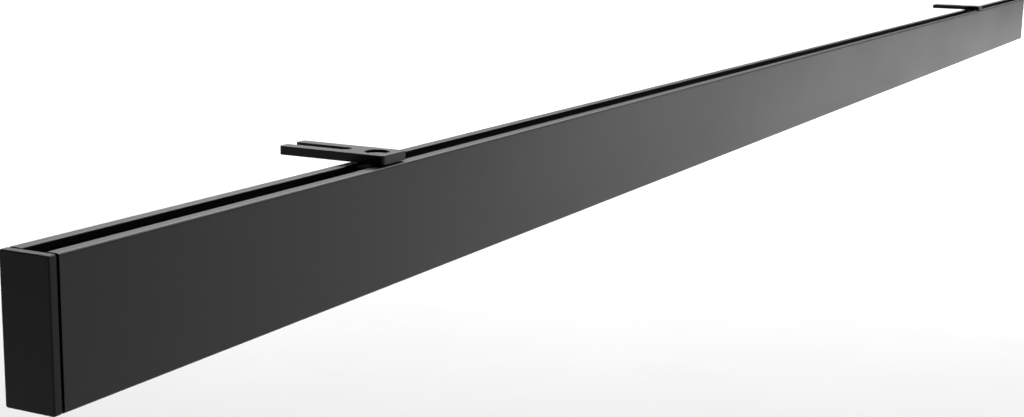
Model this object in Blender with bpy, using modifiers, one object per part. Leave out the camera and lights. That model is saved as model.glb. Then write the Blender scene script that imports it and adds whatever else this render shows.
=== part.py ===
"""LED strip batten: a slim two-metre bar of forty pixels that hangs from its T-slot.

The bar lies along X, with its near end at -X and its plain front face at -Y.
The light leaves through the underside, and the T-slot runs along the top.
The origin is the centre of the underside. Units are metres, +Z is up.
"""

import math

import bmesh
import bpy
from mathutils import Vector

MM = 0.001

# ---------------------------------------------------------------- driving dimensions
OVERALL_LENGTH = 2000.0 * MM     # over both end caps
BODY_WIDTH = 22.8 * MM
BODY_HEIGHT = 57.2 * MM
BODY_EDGE_RADIUS = 1.0 * MM

CAP_THICKNESS = 3.55 * MM
CAP_JOINT = 1.5 * MM             # between a cap and the extrusion, gasket included
CAP_EDGE_RADIUS = 1.0 * MM
GASKET_THICKNESS = 0.7 * MM
GASKET_INSET = 0.9 * MM
PLUG_DEPTH = 5.0 * MM
PLUG_WALL = 1.5 * MM

EXTRUSION_LENGTH = OVERALL_LENGTH - 2 * (CAP_THICKNESS + CAP_JOINT)
EXTRUSION_END = EXTRUSION_LENGTH / 2

# T-slot
MOUTH_HALF = BODY_WIDTH / 4
LIP_THICKNESS = 2.6 * MM
CAVITY_HALF = 8.8 * MM
CAVITY_HEIGHT = 6.4 * MM
LIP_UNDERSIDE = BODY_HEIGHT - LIP_THICKNESS
SLOT_FLOOR = LIP_UNDERSIDE - CAVITY_HEIGHT

# chamber of the control board, with a groove in each side wall that holds the board
TUBE_HALF = 9.3 * MM
TUBE_TOP = 46.0 * MM
TUBE_BOTTOM = 21.0 * MM
TUBE_CENTRE = (TUBE_TOP + TUBE_BOTTOM) / 2
GROOVE_HALF = 10.0 * MM
GROOVE_BOTTOM = 27.0 * MM
GROOVE_TOP = 28.9 * MM

# LED chamber, with a groove near its mouth that holds the diffuser
CHAMBER_HALF = 9.3 * MM
CHAMBER_TOP = 19.0 * MM
LEG_INNER = 8.8 * MM
FLANGE_GROOVE_HALF = 10.2 * MM
FLANGE_GROOVE_BOTTOM = 2.6 * MM
FLANGE_GROOVE_TOP = 4.8 * MM

SLIP = 0.2 * MM                  # clearance of a piece in its groove
FIT = 0.15 * MM                  # clearance between pieces that touch
INNER_RADIUS = 0.5 * MM          # the extrusion's inside corners

# diffuser
WINDOW_THICKNESS = 2.0 * MM
WINDOW_RIB_INNER = 7.0 * MM

# light engine: four boards end to end, each with its own ten pixels
BOARD_COUNT = 4
BOARD_PITCH = 500.0 * MM
BOARD_ROW_END = 981.0 * MM
BOARD_GAP_HALF = 0.4 * MM
LED_PITCH = 50.0 * MM
LEDS_PER_BOARD = 10
LED_SIDE = 5.0 * MM
LED_HEIGHT = 1.6 * MM
LED_RIM = 0.7 * MM
LED_WELL_DEPTH = 0.5 * MM
TAPE_THICKNESS = 0.3 * MM
TAPE_WIDTH = 15.0 * MM
BOARD_THICKNESS = 1.6 * MM
LED_BOARD_WIDTH = 16.0 * MM
TAPE_TOP = CHAMBER_TOP - FIT
LED_BOARD_TOP = TAPE_TOP - TAPE_THICKNESS - FIT
LED_BOARD_BOTTOM = LED_BOARD_TOP - BOARD_THICKNESS
LINK_LENGTH = 14.0 * MM
LINK_WIDTH = 8.0 * MM
LINK_HEIGHT = 3.0 * MM

# control board
CONTROL_BOARD_START = 790.0 * MM
CONTROL_BOARD_END = 980.0 * MM
CONTROL_BOARD_WIDTH = 2 * (GROOVE_HALF - SLIP)
CONTROL_BOARD_BOTTOM = GROOVE_BOTTOM + FIT
CONTROL_BOARD_TOP = CONTROL_BOARD_BOTTOM + BOARD_THICKNESS
PART_BASE = CONTROL_BOARD_TOP + FIT
CASE_EDGE = 0.3 * MM             # bevel on moulded cases
# name, start along X, length, width, height
CHIPS = (
    ("microcontroller", 812.0 * MM, 10.0 * MM, 10.0 * MM, 1.4 * MM),
    ("data_transceiver", 830.0 * MM, 5.0 * MM, 6.0 * MM, 1.7 * MM),
    ("voltage_regulator", 842.0 * MM, 9.0 * MM, 10.0 * MM, 4.4 * MM),
    ("inductor", 858.0 * MM, 12.0 * MM, 12.0 * MM, 7.0 * MM),
    ("fuse", 952.0 * MM, 8.0 * MM, 5.0 * MM, 4.0 * MM),
)
DRIVER_COUNT = 4                 # one for each colour channel
DRIVER_START = 875.0 * MM
DRIVER_PITCH = 9.0 * MM
DRIVER_LENGTH = 6.4 * MM
DRIVER_WIDTH = 9.4 * MM
DRIVER_HEIGHT = 2.3 * MM
CAPACITOR_STARTS = (("output_capacitor", 910.0 * MM), ("input_capacitor", 930.0 * MM))
CAPACITOR_RADIUS = 5.0 * MM
CAPACITOR_LENGTH = 17.0 * MM
CAPACITOR_CRIMP = 0.5 * MM
CAPACITOR_NECK = 3.0 * MM        # from the end to the middle of the crimped neck
INPUT_TERMINAL_END = 976.0 * MM
INPUT_TERMINAL_LENGTH = 12.0 * MM
INPUT_TERMINAL_WIDTH = 15.6 * MM
INPUT_TERMINAL_HEIGHT = 9.0 * MM
INPUT_TERMINAL_Z = 34.0 * MM     # height at which the leads enter it
INPUT_CONTACT_PITCH = 3.6 * MM
OUTPUT_TERMINAL_END = 979.0 * MM
OUTPUT_TERMINAL_LENGTH = 10.0 * MM
OUTPUT_TERMINAL_WIDTH = 9.0 * MM
OUTPUT_TERMINAL_BOTTOM = 21.8 * MM
OUTPUT_TERMINAL_Z = 24.2 * MM    # height at which the LED lead enters it
LEAD_HOLE_X = 986.5 * MM
LEAD_HOLE_RADIUS = 2.2 * MM
INLET_LEAD_RADIUS = 0.8 * MM
LED_LEAD_RADIUS = 1.2 * MM
LEAD_GAP = 0.3 * MM              # between a lead's end and what it is soldered to

# power and data inlet in the far end cap
INLET_Z = TUBE_CENTRE
INLET_SHANK_RADIUS = 5.6 * MM
INLET_BORE_RADIUS = 4.6 * MM
INLET_FLANGE_RADIUS = 8.5 * MM
INLET_FLANGE_THICKNESS = 2.4 * MM
INLET_NOSE_RADIUS = 6.0 * MM
INLET_NOSE_BORE = 4.9 * MM
INLET_NOSE_LENGTH = 9.0 * MM
INLET_SHANK_LENGTH = 7.0 * MM
INLET_THREAD_DEPTH = 0.5 * MM
INLET_THREAD_PITCH = 1.0 * MM
INLET_THREAD_TURNS = 5
INLET_CHAMFER = 0.4 * MM
SEAL_RADIUS = 6.8 * MM
SEAL_THICKNESS = 1.2 * MM
PIN_RADIUS = 0.5 * MM
PIN_SPREAD = 2.4 * MM
PIN_TIP_EDGE = 0.15 * MM
PIN_REAR = OVERALL_LENGTH / 2 - INLET_SHANK_LENGTH - 2.5 * MM
PIN_FRONT = OVERALL_LENGTH / 2 + INLET_FLANGE_THICKNESS + 4.6 * MM

# brackets, which slide in the T-slot and swivel about their clamp screws
NEAR_BRACKET_X = -771.4 * MM
FAR_BRACKET_X = 671.0 * MM
PLATE_GAP = 0.8 * MM
PLATE_THICKNESS = 4.3 * MM
PLATE_WIDTH = 21.0 * MM
PLATE_FRONT = -10.0 * MM
PLATE_BACK = 48.2 * MM
PLATE_CORNER = 1.6 * MM
PLATE_EDGE = 0.4 * MM
FORK_WIDTH = 7.0 * MM
FORK_START = 14.4 * MM
FORK_TIP_RADIUS = 1.2 * MM
HOLE_RADIUS = 3.4 * MM
COUNTERBORE_RADIUS = 5.8 * MM
COUNTERBORE_DEPTH = 2.7 * MM
PLATE_BOTTOM = BODY_HEIGHT + PLATE_GAP
PLATE_TOP = PLATE_BOTTOM + PLATE_THICKNESS

SCREW_RADIUS = 3.0 * MM
SCREW_HEAD_RADIUS = 5.25 * MM
SCREW_HEAD_HEIGHT = 1.5 * MM
SCREW_HEAD_EDGE = 0.2 * MM
SCREW_SEAT_GAP = 0.1 * MM        # running clearance between the head and the plate
SCREW_TIP_CHAMFER = 0.6 * MM
SCREW_SOCKET_RADIUS = 2.0 * MM
SCREW_SOCKET_DEPTH = 1.4 * MM

T_NUT_LENGTH = 20.0 * MM
T_NUT_HALF = 8.3 * MM
T_NUT_NECK_HALF = 5.3 * MM
T_NUT_BOTTOM = SLOT_FLOOR + 1.2 * MM
T_NUT_SHOULDER = LIP_UNDERSIDE - 0.4 * MM
T_NUT_TOP = BODY_HEIGHT - 1.0 * MM
T_NUT_EDGE = 0.5 * MM

PAST = 1.0 * MM                  # how far a cutter runs past the surface that it cuts
ARC_STEPS = 4
ROUND_STEPS = 32
ALONG_X = (math.pi / 2, 0.0, math.pi / 2)   # local x, y, z become world y, z, x
TURNED_ALONG_X = (0.0, math.pi / 2, 0.0)    # local z becomes world x

PARTS = "led_strip_batten"
CUTTERS = "cutters"


# ---------------------------------------------------------------- scene and materials
def start_scene():
    for old in list(bpy.data.objects):
        bpy.data.objects.remove(old, do_unlink=True)
    for name in (PARTS, CUTTERS):
        collection = bpy.data.collections.get(name) or bpy.data.collections.new(name)
        if name not in bpy.context.scene.collection.children:
            bpy.context.scene.collection.children.link(collection)


def material(name, colour, roughness, metallic=0.0):
    """A Principled BSDF of one colour."""
    made = bpy.data.materials.new(name)
    made.use_nodes = True
    shader = made.node_tree.nodes["Principled BSDF"]
    shader.inputs["Base Color"].default_value = (*colour, 1.0)
    shader.inputs["Roughness"].default_value = roughness
    shader.inputs["Metallic"].default_value = metallic
    made.diffuse_color = (*colour, 1.0)
    return made


def add(name, data, finish, collection=PARTS):
    obj = bpy.data.objects.new(name, data)
    bpy.data.collections[collection].objects.link(obj)
    if finish is not None:
        data.materials.append(finish)
    return obj


def make_cutter(obj):
    obj.hide_render = True
    obj.display_type = "WIRE"
    return obj


# ---------------------------------------------------------------- outlines
def rounded(corners):
    """Points of an outline whose corners are (x, y, radius), each rounded by an arc."""
    points = []
    for index, (x, y, radius) in enumerate(corners):
        here = Vector((x, y))
        before = Vector(corners[index - 1][:2])
        after = Vector(corners[(index + 1) % len(corners)][:2])
        if radius == 0.0:
            points.append(here)
            continue
        to_before = (before - here).normalized()
        to_after = (after - here).normalized()
        half_angle = to_before.angle(to_after) / 2
        centre = here + (to_before + to_after).normalized() * radius / math.sin(half_angle)
        start = here + to_before * radius / math.tan(half_angle) - centre
        end = here + to_after * radius / math.tan(half_angle) - centre
        sweep = start.angle_signed(end)
        for step in range(ARC_STEPS + 1):
            turn = -sweep * step / ARC_STEPS
            points.append(centre + Vector((
                start.x * math.cos(turn) - start.y * math.sin(turn),
                start.x * math.sin(turn) + start.y * math.cos(turn),
            )))
    return points


def mirrored(half):
    """A whole outline from the corners of its half at positive x, top to bottom."""
    return half + [(-x, y, radius) for x, y, radius in reversed(half)]


def rectangle(half_width, bottom, top, radius=0.0):
    return [
        (half_width, top, radius),
        (half_width, bottom, radius),
        (-half_width, bottom, radius),
        (-half_width, top, radius),
    ]


def circle(radius):
    turns = [2 * math.pi * step / ROUND_STEPS for step in range(ROUND_STEPS)]
    return [Vector((radius * math.cos(turn), radius * math.sin(turn))) for turn in turns]


def curve_to_mesh(obj):
    """Replaces a curve object with a mesh object whose caps are welded."""
    bpy.context.view_layer.update()
    evaluated = obj.evaluated_get(bpy.context.evaluated_depsgraph_get())
    mesh = bpy.data.meshes.new_from_object(evaluated)
    welded = bmesh.new()
    welded.from_mesh(mesh)
    bmesh.ops.remove_doubles(welded, verts=welded.verts, dist=0.001 * MM)
    welded.to_mesh(mesh)
    welded.free()
    name, collection, matrix = obj.name, obj.users_collection[0], obj.matrix_world.copy()
    bpy.data.objects.remove(obj, do_unlink=True)
    made = bpy.data.objects.new(name, mesh)
    collection.objects.link(made)
    made.matrix_world = matrix
    return made


def extrude(name, outlines, thickness, finish, location, rotation=ALONG_X, collection=PARTS):
    """A flat outline, with the holes of any further outlines, given a thickness."""
    curve = bpy.data.curves.new(name, "CURVE")
    curve.dimensions = "2D"
    curve.fill_mode = "BOTH"
    curve.extrude = thickness / 2
    for outline in outlines:
        spline = curve.splines.new("POLY")
        spline.points.add(len(outline) - 1)
        for point, place in zip(spline.points, outline):
            point.co = (place[0], place[1], 0.0, 1.0)
        spline.use_cyclic_u = True
    obj = add(name, curve, finish, collection)
    obj.location = location
    obj.rotation_euler = rotation
    return curve_to_mesh(obj)


# ---------------------------------------------------------------- solids
def box(name, low, high, finish, bevel=0.0, collection=PARTS):
    """A box between two corners, its origin at its centre."""
    low, high = Vector(low), Vector(high)
    shape = bmesh.new()
    bmesh.ops.create_cube(shape, size=1.0)
    bmesh.ops.scale(shape, vec=high - low, verts=shape.verts)
    mesh = bpy.data.meshes.new(name)
    shape.to_mesh(mesh)
    shape.free()
    obj = add(name, mesh, finish, collection)
    obj.location = (low + high) / 2
    if bevel:
        soften(obj, bevel)
    return obj


def cylinder(name, radius, start, end, finish, collection=PARTS, steps=ROUND_STEPS):
    """A cylinder from one centre of its ends to the other."""
    start, end = Vector(start), Vector(end)
    axis = end - start
    shape = bmesh.new()
    bmesh.ops.create_cone(
        shape,
        cap_ends=True,
        segments=steps,
        radius1=radius,
        radius2=radius,
        depth=axis.length,
    )
    mesh = bpy.data.meshes.new(name)
    shape.to_mesh(mesh)
    shape.free()
    mesh.shade_smooth()
    mesh.set_sharp_from_angle(angle=math.radians(30))
    obj = add(name, mesh, finish, collection)
    obj.location = (start + end) / 2
    obj.rotation_euler = axis.to_track_quat("Z", "Y").to_euler()
    return obj


def soften(obj, width, segments=2):
    """Rounds the sharp edges of an object."""
    bevel = obj.modifiers.new("soft_edges", "BEVEL")
    bevel.width = width
    bevel.segments = segments
    bevel.limit_method = "ANGLE"
    bevel.angle_limit = math.radians(40)
    return obj


def combine(obj, other, operation):
    """Cuts the other object out of this one, or joins it to this one."""
    boolean = obj.modifiers.new(operation.lower() + "_" + other.name, "BOOLEAN")
    boolean.operation = operation
    boolean.object = other
    make_cutter(other)
    return obj


def turned(name, profile, location, rotation, finish, steps=ROUND_STEPS):
    """A turned piece. The profile's points are (radius, height), top to bottom."""
    mesh = bpy.data.meshes.new(name)
    edges = [(index, index + 1) for index in range(len(profile) - 1)]
    mesh.from_pydata([(radius, 0.0, height) for radius, height in profile], edges, [])
    obj = add(name, mesh, finish)
    obj.location = location
    obj.rotation_euler = rotation
    screw = obj.modifiers.new("turn", "SCREW")
    screw.steps = steps
    screw.render_steps = steps
    screw.use_merge_vertices = True
    screw.merge_threshold = 0.001 * MM
    return obj


def tube(name, points, radius, finish):
    """A lead along a list of points."""
    curve = bpy.data.curves.new(name, "CURVE")
    curve.dimensions = "3D"
    curve.bevel_depth = radius
    curve.bevel_resolution = 2
    curve.use_fill_caps = True
    spline = curve.splines.new("POLY")
    spline.points.add(len(points) - 1)
    for point, place in zip(spline.points, points):
        point.co = (*place, 1.0)
    return add(name, curve, finish)


# ---------------------------------------------------------------- body
def make_extrusion():
    outer = mirrored([
        (CAVITY_HALF, SLOT_FLOOR, INNER_RADIUS),
        (CAVITY_HALF, LIP_UNDERSIDE, 0.0),
        (MOUTH_HALF, LIP_UNDERSIDE, 0.0),
        (MOUTH_HALF, BODY_HEIGHT, INNER_RADIUS),
        (BODY_WIDTH / 2, BODY_HEIGHT, BODY_EDGE_RADIUS),
        (BODY_WIDTH / 2, 0.0, BODY_EDGE_RADIUS),
        (LEG_INNER, 0.0, 0.0),
        (LEG_INNER, FLANGE_GROOVE_BOTTOM, 0.0),
        (FLANGE_GROOVE_HALF, FLANGE_GROOVE_BOTTOM, 0.0),
        (FLANGE_GROOVE_HALF, FLANGE_GROOVE_TOP, 0.0),
        (CHAMBER_HALF, FLANGE_GROOVE_TOP, 0.0),
        (CHAMBER_HALF, CHAMBER_TOP, INNER_RADIUS),
    ])
    inner = mirrored([
        (TUBE_HALF, TUBE_TOP, INNER_RADIUS),
        (TUBE_HALF, GROOVE_TOP, 0.0),
        (GROOVE_HALF, GROOVE_TOP, 0.0),
        (GROOVE_HALF, GROOVE_BOTTOM, 0.0),
        (TUBE_HALF, GROOVE_BOTTOM, 0.0),
        (TUBE_HALF, TUBE_BOTTOM, INNER_RADIUS),
    ])
    finish = material("black_satin_paint", (0.022, 0.022, 0.024), 0.42)
    outlines = [rounded(outer), rounded(inner)]
    body = extrude("extrusion", outlines, EXTRUSION_LENGTH, finish, (0.0, 0.0, 0.0))
    lead_hole = cylinder(
        "lead_hole", LEAD_HOLE_RADIUS,
        (LEAD_HOLE_X, 0.0, CHAMBER_TOP - PAST), (LEAD_HOLE_X, 0.0, TUBE_BOTTOM + PAST),
        None, CUTTERS,
    )
    combine(body, lead_hole, "DIFFERENCE")


def make_diffuser():
    """A flat opal window with a flanged rib along each side."""
    rib_top = FLANGE_GROOVE_TOP - SLIP
    section = mirrored([
        (WINDOW_RIB_INNER, WINDOW_THICKNESS, INNER_RADIUS),
        (WINDOW_RIB_INNER, rib_top, 0.0),
        (FLANGE_GROOVE_HALF - SLIP, rib_top, 0.0),
        (FLANGE_GROOVE_HALF - SLIP, FLANGE_GROOVE_BOTTOM + SLIP, 0.0),
        (LEG_INNER - SLIP, FLANGE_GROOVE_BOTTOM + SLIP, 0.0),
        (LEG_INNER - SLIP, 0.0, 0.0),
    ])
    finish = material("opal_diffuser", (0.82, 0.83, 0.82), 0.35)
    extrude("diffuser", [rounded(section)], EXTRUSION_LENGTH, finish, (0.0, 0.0, 0.0))


def make_end_cap(name, side, finish):
    """The cap at side -1 or +1: a plate with a hollow plug that enters the extrusion."""
    outer_face = side * OVERALL_LENGTH / 2
    inner_face = outer_face - side * CAP_THICKNESS
    plug_end = side * (EXTRUSION_END - PLUG_DEPTH)
    plug_half = TUBE_HALF - SLIP
    plug_bottom, plug_top = TUBE_BOTTOM + SLIP, TUBE_TOP - SLIP
    root = (outer_face + inner_face) / 2

    cap = box(
        name,
        (min(outer_face, inner_face), -BODY_WIDTH / 2, 0.0),
        (max(outer_face, inner_face), BODY_WIDTH / 2, BODY_HEIGHT),
        finish,
    )
    soften(cap, CAP_EDGE_RADIUS, 3)
    plug = box(
        name + "_plug",
        (min(root, plug_end), -plug_half, plug_bottom),
        (max(root, plug_end), plug_half, plug_top),
        None, collection=CUTTERS,
    )
    hollow_end = plug_end - side * PAST
    hollow = box(
        name + "_hollow",
        (min(inner_face, hollow_end), PLUG_WALL - plug_half, plug_bottom + PLUG_WALL),
        (max(inner_face, hollow_end), plug_half - PLUG_WALL, plug_top - PLUG_WALL),
        None, collection=CUTTERS,
    )
    combine(cap, plug, "UNION")
    combine(cap, hollow, "DIFFERENCE")
    return cap


def make_end_caps():
    black = (0.02, 0.02, 0.021)
    make_end_cap("near_end_cap", -1, material("near_cap_paint", black, 0.45))
    far_cap = make_end_cap("far_end_cap", 1, material("far_cap_paint", black, 0.45))
    end = OVERALL_LENGTH / 2
    inlet_hole = cylinder(
        "inlet_hole", INLET_SHANK_RADIUS + FIT,
        (end - CAP_THICKNESS - PAST, 0.0, INLET_Z), (end + PAST, 0.0, INLET_Z),
        None, CUTTERS,
    )
    combine(far_cap, inlet_hole, "DIFFERENCE")


def make_gasket(name, side):
    outline = rectangle(
        BODY_WIDTH / 2 - GASKET_INSET, GASKET_INSET, BODY_HEIGHT - GASKET_INSET, INNER_RADIUS
    )
    opening = rectangle(TUBE_HALF, TUBE_BOTTOM, TUBE_TOP, INNER_RADIUS)
    finish = material(name + "_rubber", (0.012, 0.012, 0.012), 0.8)
    middle = side * (EXTRUSION_END + CAP_JOINT / 2)
    extrude(name, [rounded(outline), rounded(opening)], GASKET_THICKNESS, finish, (middle, 0.0, 0.0))


# ---------------------------------------------------------------- light engine
def led(name, centre_x):
    """A surface-mount package, facing down, with a shallow light well."""
    shape = bmesh.new()
    bmesh.ops.create_cube(shape, size=1.0)
    bmesh.ops.scale(shape, vec=(LED_SIDE, LED_SIDE, LED_HEIGHT + PAST), verts=shape.verts)
    front = min(shape.faces, key=lambda face: face.calc_center_median().z)
    bmesh.ops.inset_region(shape, faces=[front], thickness=LED_RIM, depth=0.0)
    bmesh.ops.inset_region(shape, faces=[front], thickness=LED_WELL_DEPTH / 2, depth=-LED_WELL_DEPTH)
    mesh = bpy.data.meshes.new(name)
    shape.to_mesh(mesh)
    shape.free()
    package = add(name, mesh, None, CUTTERS)
    package.location = (centre_x, 0.0, LED_BOARD_BOTTOM + (PAST - LED_HEIGHT) / 2)
    return package


def make_led_boards():
    """Each board with its LEDs soldered on, its tape, and the jumper to the next board."""
    half = LED_BOARD_WIDTH / 2
    first_joint = -BOARD_PITCH * BOARD_COUNT / 2
    for index in range(BOARD_COUNT):
        number = index + 1
        low = max(first_joint + index * BOARD_PITCH + BOARD_GAP_HALF, -BOARD_ROW_END)
        high = min(first_joint + number * BOARD_PITCH - BOARD_GAP_HALF, BOARD_ROW_END)
        board = box(
            f"led_board_{number}", (low, -half, LED_BOARD_BOTTOM), (high, half, LED_BOARD_TOP),
            material(f"led_board_{number}_mask", (0.75, 0.76, 0.74), 0.5),
        )
        first_led = first_joint + index * BOARD_PITCH + LED_PITCH / 2
        for place in range(LEDS_PER_BOARD):
            package = led(f"led_{index * LEDS_PER_BOARD + place + 1:02d}", first_led + place * LED_PITCH)
            combine(board, package, "UNION")
        box(
            f"thermal_tape_{number}",
            (low, -TAPE_WIDTH / 2, TAPE_TOP - TAPE_THICKNESS), (high, TAPE_WIDTH / 2, TAPE_TOP),
            material(f"tape_{number}_film", (0.55, 0.57, 0.60), 0.7),
        )
        if number < BOARD_COUNT:
            joint = first_joint + number * BOARD_PITCH
            top = LED_BOARD_BOTTOM - FIT
            box(
                f"board_link_{number}",
                (joint - LINK_LENGTH / 2, -LINK_WIDTH / 2, top - LINK_HEIGHT),
                (joint + LINK_LENGTH / 2, LINK_WIDTH / 2, top),
                material(f"board_link_{number}_nylon", (0.80, 0.78, 0.70), 0.5), CASE_EDGE,
            )


# ---------------------------------------------------------------- control board
def make_control_board():
    box(
        "control_board",
        (CONTROL_BOARD_START, -CONTROL_BOARD_WIDTH / 2, CONTROL_BOARD_BOTTOM),
        (CONTROL_BOARD_END, CONTROL_BOARD_WIDTH / 2, CONTROL_BOARD_TOP),
        material("board_green", (0.03, 0.20, 0.09), 0.45),
    )
    black, grey, ceramic = (0.02, 0.02, 0.022), (0.10, 0.10, 0.11), (0.75, 0.72, 0.62)
    colours = {"inductor": grey, "fuse": ceramic}
    cases = list(CHIPS)
    for index in range(DRIVER_COUNT):
        start = DRIVER_START + index * DRIVER_PITCH
        cases.append((f"led_driver_{index + 1}", start, DRIVER_LENGTH, DRIVER_WIDTH, DRIVER_HEIGHT))
    for name, start, length, width, height in cases:
        box(
            name,
            (start, -width / 2, PART_BASE),
            (start + length, width / 2, PART_BASE + height),
            material(name + "_case", colours.get(name, black), 0.5), CASE_EDGE,
        )


def make_capacitors():
    """Two electrolytic capacitors that lie along the control board."""
    waist = CAPACITOR_RADIUS - CAPACITOR_CRIMP
    profile = [
        (0.0, CAPACITOR_LENGTH),
        (waist, CAPACITOR_LENGTH),
        (CAPACITOR_RADIUS, CAPACITOR_LENGTH - CAPACITOR_CRIMP),
        (CAPACITOR_RADIUS, CAPACITOR_NECK + CAPACITOR_CRIMP),
        (waist, CAPACITOR_NECK),
        (CAPACITOR_RADIUS, CAPACITOR_NECK - CAPACITOR_CRIMP),
        (CAPACITOR_RADIUS, CAPACITOR_CRIMP),
        (waist, 0.0),
        (0.0, 0.0),
    ]
    for name, start in CAPACITOR_STARTS:
        finish = material(name + "_sleeve", (0.03, 0.04, 0.09), 0.4)
        place = (start, 0.0, PART_BASE + CAPACITOR_RADIUS)
        turned(name, profile, place, TURNED_ALONG_X, finish, 24)


def make_terminals():
    nylon = (0.80, 0.78, 0.70)
    box(
        "input_terminal",
        (INPUT_TERMINAL_END - INPUT_TERMINAL_LENGTH, -INPUT_TERMINAL_WIDTH / 2, PART_BASE),
        (INPUT_TERMINAL_END, INPUT_TERMINAL_WIDTH / 2, PART_BASE + INPUT_TERMINAL_HEIGHT),
        material("input_terminal_nylon", nylon, 0.5), CASE_EDGE,
    )
    box(
        "output_terminal",
        (OUTPUT_TERMINAL_END - OUTPUT_TERMINAL_LENGTH, -OUTPUT_TERMINAL_WIDTH / 2, OUTPUT_TERMINAL_BOTTOM),
        (OUTPUT_TERMINAL_END, OUTPUT_TERMINAL_WIDTH / 2, CONTROL_BOARD_BOTTOM - FIT),
        material("output_terminal_nylon", nylon, 0.5), CASE_EDGE,
    )


def make_leads():
    """Four leads from the inlet to the control board, and one from there to the LEDs."""
    start_x = PIN_REAR - LEAD_GAP
    end_x = INPUT_TERMINAL_END + LEAD_GAP
    colours = ((0.45, 0.02, 0.02), (0.02, 0.02, 0.02), (0.02, 0.20, 0.05), (0.65, 0.63, 0.60))
    ends = [INPUT_CONTACT_PITCH * contact for contact in (-1.5, -0.5, 0.5, 1.5)]
    for number, (pin_y, pin_z), end_y, colour in zip(range(1, 5), pin_places(), ends, colours):
        points = []
        for step in range(9):
            share = step / 8
            ease = share * share * (3 - 2 * share)
            points.append((
                start_x + (end_x - start_x) * share,
                pin_y + (end_y - pin_y) * ease,
                pin_z + (INPUT_TERMINAL_Z - pin_z) * ease,
            ))
        sheath = material(f"lead_{number}_pvc", colour, 0.5)
        tube(f"inlet_lead_{number}", points, INLET_LEAD_RADIUS, sheath)

    # the LED lead: out of the terminal, a half turn down through the shelf, and back to the board
    board_z = (LED_BOARD_TOP + LED_BOARD_BOTTOM) / 2
    turn_radius = (OUTPUT_TERMINAL_Z - board_z) / 2
    centre_z = (OUTPUT_TERMINAL_Z + board_z) / 2
    centre_x = LEAD_HOLE_X - turn_radius
    points = [(OUTPUT_TERMINAL_END + LEAD_GAP, 0.0, OUTPUT_TERMINAL_Z)]
    for step in range(13):
        angle = math.pi / 2 - math.pi * step / 12
        points.append((
            centre_x + turn_radius * math.cos(angle),
            0.0,
            centre_z + turn_radius * math.sin(angle),
        ))
    points.append((BOARD_ROW_END + LEAD_GAP, 0.0, board_z))
    tube("led_lead", points, LED_LEAD_RADIUS, material("led_lead_pvc", (0.30, 0.30, 0.31), 0.5))


# ---------------------------------------------------------------- inlet
def pin_places():
    """The inlet pins' (y, z), in the order of the terminal's contacts."""
    turns = ((-1, -1), (-1, 1), (1, 1), (1, -1))
    return [(y * PIN_SPREAD, INLET_Z + z * PIN_SPREAD) for y, z in turns]


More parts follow.
